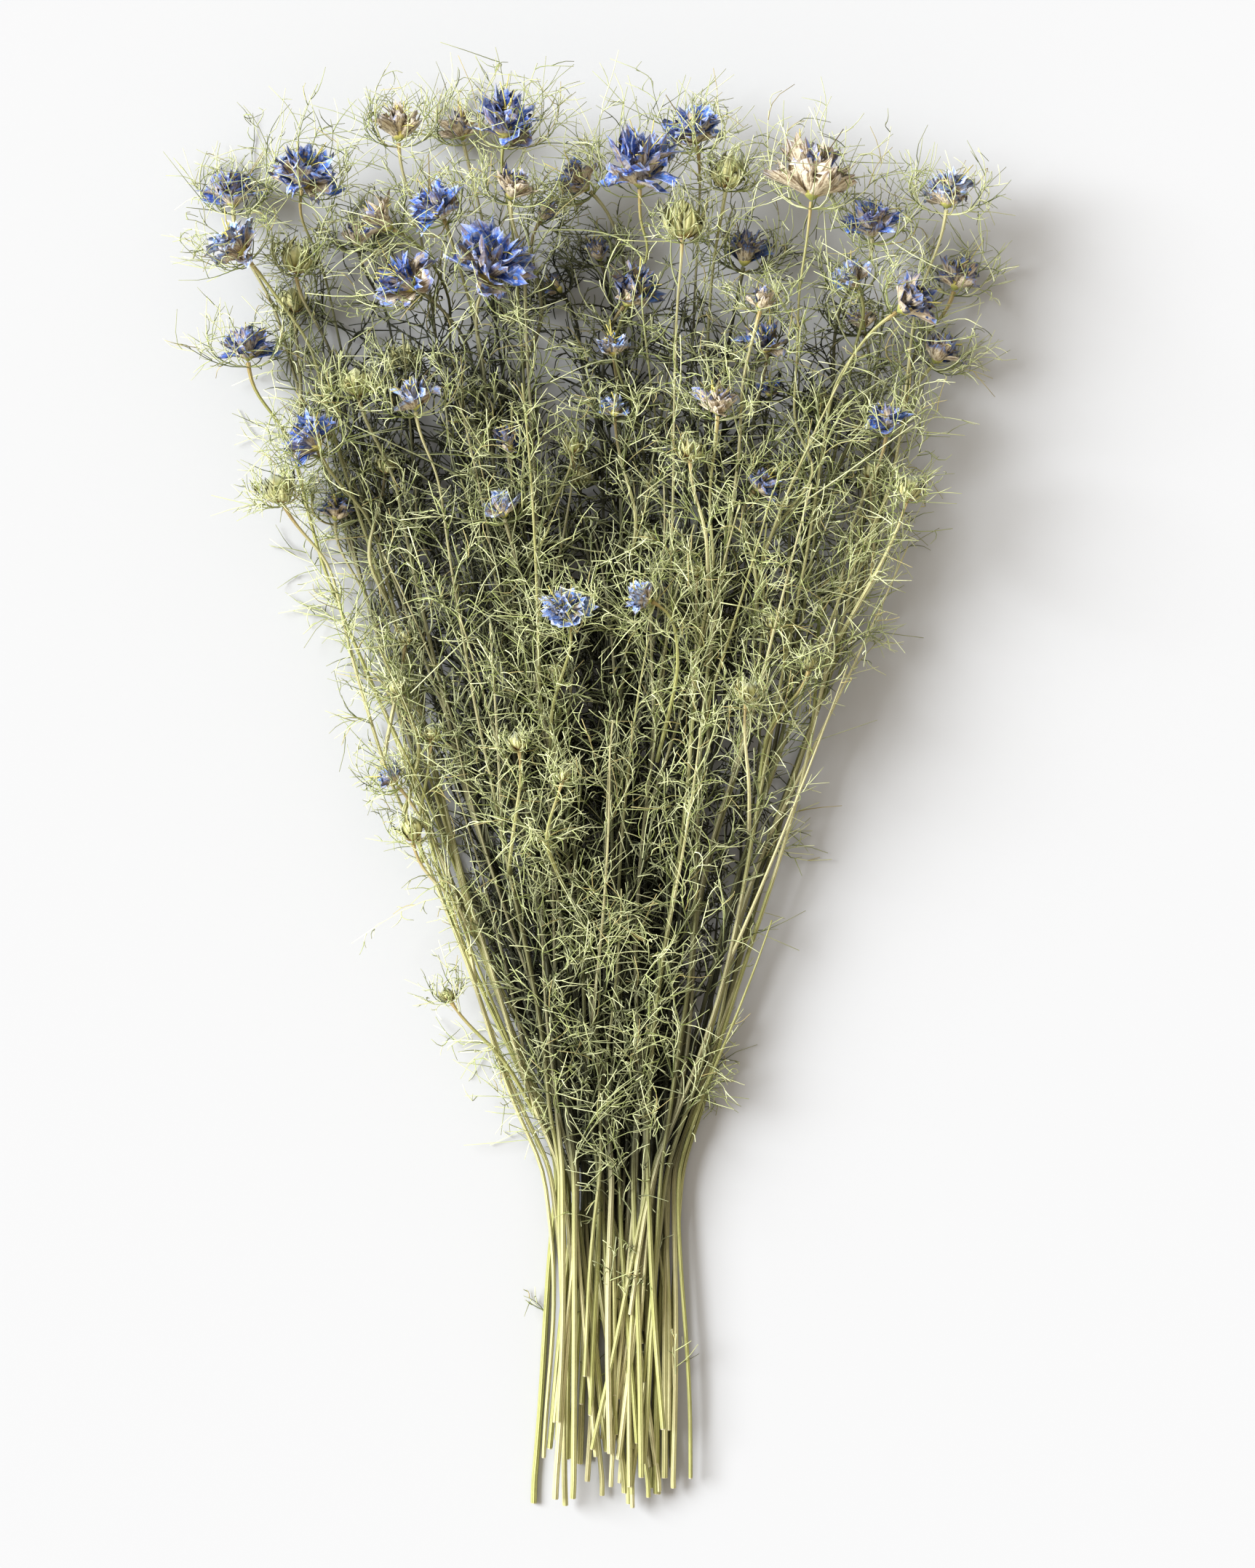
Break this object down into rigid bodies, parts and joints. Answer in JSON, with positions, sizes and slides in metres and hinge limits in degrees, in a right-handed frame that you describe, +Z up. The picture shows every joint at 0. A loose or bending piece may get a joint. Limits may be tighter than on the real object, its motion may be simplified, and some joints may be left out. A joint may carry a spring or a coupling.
{
  "type": "dried nigella bunch",
  "caption": "Gathered bunch of dried nigella (love-in-a-mist) lying flat: cut stems, feathery leaves, thread-like bracts, dried flowers and closed buds.",
  "frame": {"origin": "on the surface that the bunch lies on, under the middle of its neck, where the stems are closest together", "axes": "+Y along the bunch from the cut ends towards the heads, +Z up from the surface, +X to the right seen from above with the heads at the top"},
  "size_m": [0.3402, 0.5951, 0.0925],
  "materials": {
    "dried_green": "matt dried plant stem and leaf",
    "petals_blue": "matt dried cobalt-blue petal",
    "petals_navy": "matt dried navy petal",
    "petals_pale": "matt dried pale blue petal",
    "petals_cream": "matt papery cream petal"
  },
  "bodies": {
    "root": {"bloom_01": "petals_blue", "bloom_02": "petals_blue", "bloom_03": "petals_pale", "bloom_04": "petals_blue", "bloom_05": "petals_cream", "bloom_06": "petals_blue", "bloom_07": "petals_pale", "bloom_08": "petals_navy", "bloom_09": "petals_cream", "bloom_10": "petals_cream", "bloom_11": "petals_blue", "bloom_12": "petals_cream", "bloom_13": "petals_blue", "bloom_14": "petals_blue", "bloom_15": "petals_blue", "bloom_16": "petals_cream", "bloom_17": "petals_navy", "bloom_18": "petals_navy", "bloom_19": "petals_blue", "bloom_20": "petals_blue", "bloom_21": "petals_cream", "bloom_22": "petals_pale", "bloom_23": "petals_blue", "bloom_24": "petals_pale", "bloom_25": "petals_navy", "bloom_26": "petals_navy", "bloom_27": "petals_cream", "bloom_28": "petals_navy", "bloom_29": "petals_navy", "bloom_30": "petals_cream", "bloom_31": "petals_navy", "bloom_32": "petals_blue", "bloom_33": "petals_navy", "bloom_34": "petals_navy", "bloom_35": "petals_pale", "bloom_36": "petals_navy", "bloom_37": "petals_cream", "bloom_38": "petals_blue", "bloom_39": "petals_blue", "bloom_40": "petals_navy", "bloom_41": "petals_pale", "bloom_42": "petals_pale", "bloom_43": "petals_pale", "bloom_44": "petals_pale", "bloom_45": "petals_pale", "spray_01": "dried_green", "spray_02": "dried_green", "spray_03": "dried_green", "spray_04": "dried_green", "spray_05": "dried_green", "spray_06": "dried_green", "spray_07": "dried_green", "spray_08": "dried_green", "spray_09": "dried_green", "spray_10": "dried_green", "spray_11": "dried_green", "spray_12": "dried_green", "spray_13": "dried_green", "spray_14": "dried_green", "spray_15": "dried_green"}
  },
  "joints": []
}
